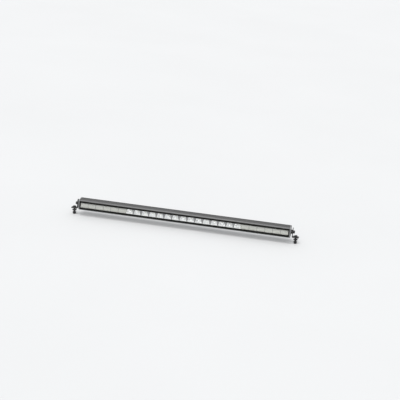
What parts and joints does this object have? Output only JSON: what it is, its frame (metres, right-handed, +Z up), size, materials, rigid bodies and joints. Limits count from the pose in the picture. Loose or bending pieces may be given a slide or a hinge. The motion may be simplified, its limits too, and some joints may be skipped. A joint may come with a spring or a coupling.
{
  "type": "led light bar",
  "caption": "Slim single-row light bar with reflector cups behind a clear lens, in a finned housing that tilts on two end brackets.",
  "frame": {"origin": "on the plane that the two bracket feet stand on, midway between them, below the tilt axis", "axes": "+X along the bar, to the right of somebody who faces the lens; -Y is the way the lens looks; +Z up"},
  "size_m": [1.113, 0.0633, 0.0819],
  "materials": {
    "housing_coat": "satin anodised extrusion, dark grey",
    "bezel_plastic": "black moulded plastic, fine grain",
    "lens_clear": "clear hard-coated polycarbonate",
    "seal_rubber": "black silicone rubber",
    "diffuser_frost": "frosted translucent plastic",
    "reflector_mirror": "vacuum-metallised plastic",
    "board_mask": "white solder mask on an aluminium-core board",
    "led_emitter": "yellow phosphor under a clear silicone dome",
    "thermal_pad": "soft grey-blue gap filler",
    "screw_steel": "zinc-plated steel",
    "driver_mask": "green solder mask",
    "ferrite": "dark ferrite",
    "capacitor_can": "bare aluminium can",
    "chip_epoxy": "black epoxy",
    "terminal_plastic": "green moulded plastic",
    "wire_red": "red silicone insulation",
    "wire_black": "black silicone insulation",
    "cap_coat": "cast aluminium, satin dark grey coat",
    "insert_steel": "plain steel",
    "nylon_black": "black nylon",
    "gland_nylon": "black glass-filled nylon",
    "bracket_coat": "black powder coat on steel",
    "bolt_black": "black zinc-nickel on steel"
  },
  "bodies": {
    "left_bracket": {"bracket_left": "bracket_coat", "foot_bolt_left": "bolt_black", "foot_washers_left": "bolt_black", "foot_rubber_washer_left": "seal_rubber", "foot_spring_washer_left": "bolt_black", "foot_nut_left": "bolt_black"},
    "bar": {"board_screws": "screw_steel", "breather_vent": "gland_nylon", "cable_gland_body": "gland_nylon", "cable_gland_nut": "gland_nylon", "cable_gland_seal": "seal_rubber", "cap_screws_left": "bolt_black", "cap_screws_right": "bolt_black", "diffuser_left": "diffuser_frost", "diffuser_right": "diffuser_frost", "driver_board": "driver_mask", "driver_capacitors": "capacitor_can", "driver_chips": "chip_epoxy", "driver_inductors": "ferrite", "driver_terminal": "terminal_plastic", "end_cap_left": "cap_coat", "end_cap_right": "cap_coat", "end_gasket_left": "seal_rubber", "end_gasket_right": "seal_rubber", "friction_washer_left": "nylon_black", "friction_washer_right": "nylon_black", "front_bezel": "bezel_plastic", "housing_extrusion": "housing_coat", "led_board_centre": "board_mask", "led_board_left": "board_mask", "led_board_right": "board_mask", "leds_centre": "led_emitter", "leds_left": "led_emitter", "leds_right": "led_emitter", "lens_seal_strips": "seal_rubber", "outer_lens": "lens_clear", "pivot_bolt_left": "bolt_black", "pivot_bolt_right": "bolt_black", "pivot_insert_left": "insert_steel", "pivot_insert_right": "insert_steel", "pivot_spring_washer_left": "bolt_black", "pivot_spring_washer_right": "bolt_black", "pivot_washer_left": "bolt_black", "pivot_washer_right": "bolt_black", "reflector_centre": "reflector_mirror", "reflector_left": "reflector_mirror", "reflector_right": "reflector_mirror", "thermal_pad_centre": "thermal_pad", "thermal_pad_left": "thermal_pad", "thermal_pad_right": "thermal_pad", "web_grommet": "seal_rubber", "wire_negative": "wire_black", "wire_positive": "wire_red"},
    "right_bracket": {"bracket_right": "bracket_coat", "foot_bolt_right": "bolt_black", "foot_washers_right": "bolt_black", "foot_rubber_washer_right": "seal_rubber", "foot_spring_washer_right": "bolt_black", "foot_nut_right": "bolt_black"}
  },
  "joints": [
    {"name": "tilt", "type": "hinge", "parent": "left_bracket", "child": "bar", "pos_m": [-0.5252, 0, 0.026], "axis": [1, 0, 0], "range_deg": [-45, 45]},
    {"name": "right_pivot", "type": "hinge", "parent": "bar", "child": "right_bracket", "pos_m": [0.5252, 0, 0.026], "axis": [1, 0, 0], "range_deg": [-45, 45]}
  ],
  "couplings": [
    {"joint": "right_pivot", "follows": "tilt", "ratio": -1}
  ]
}
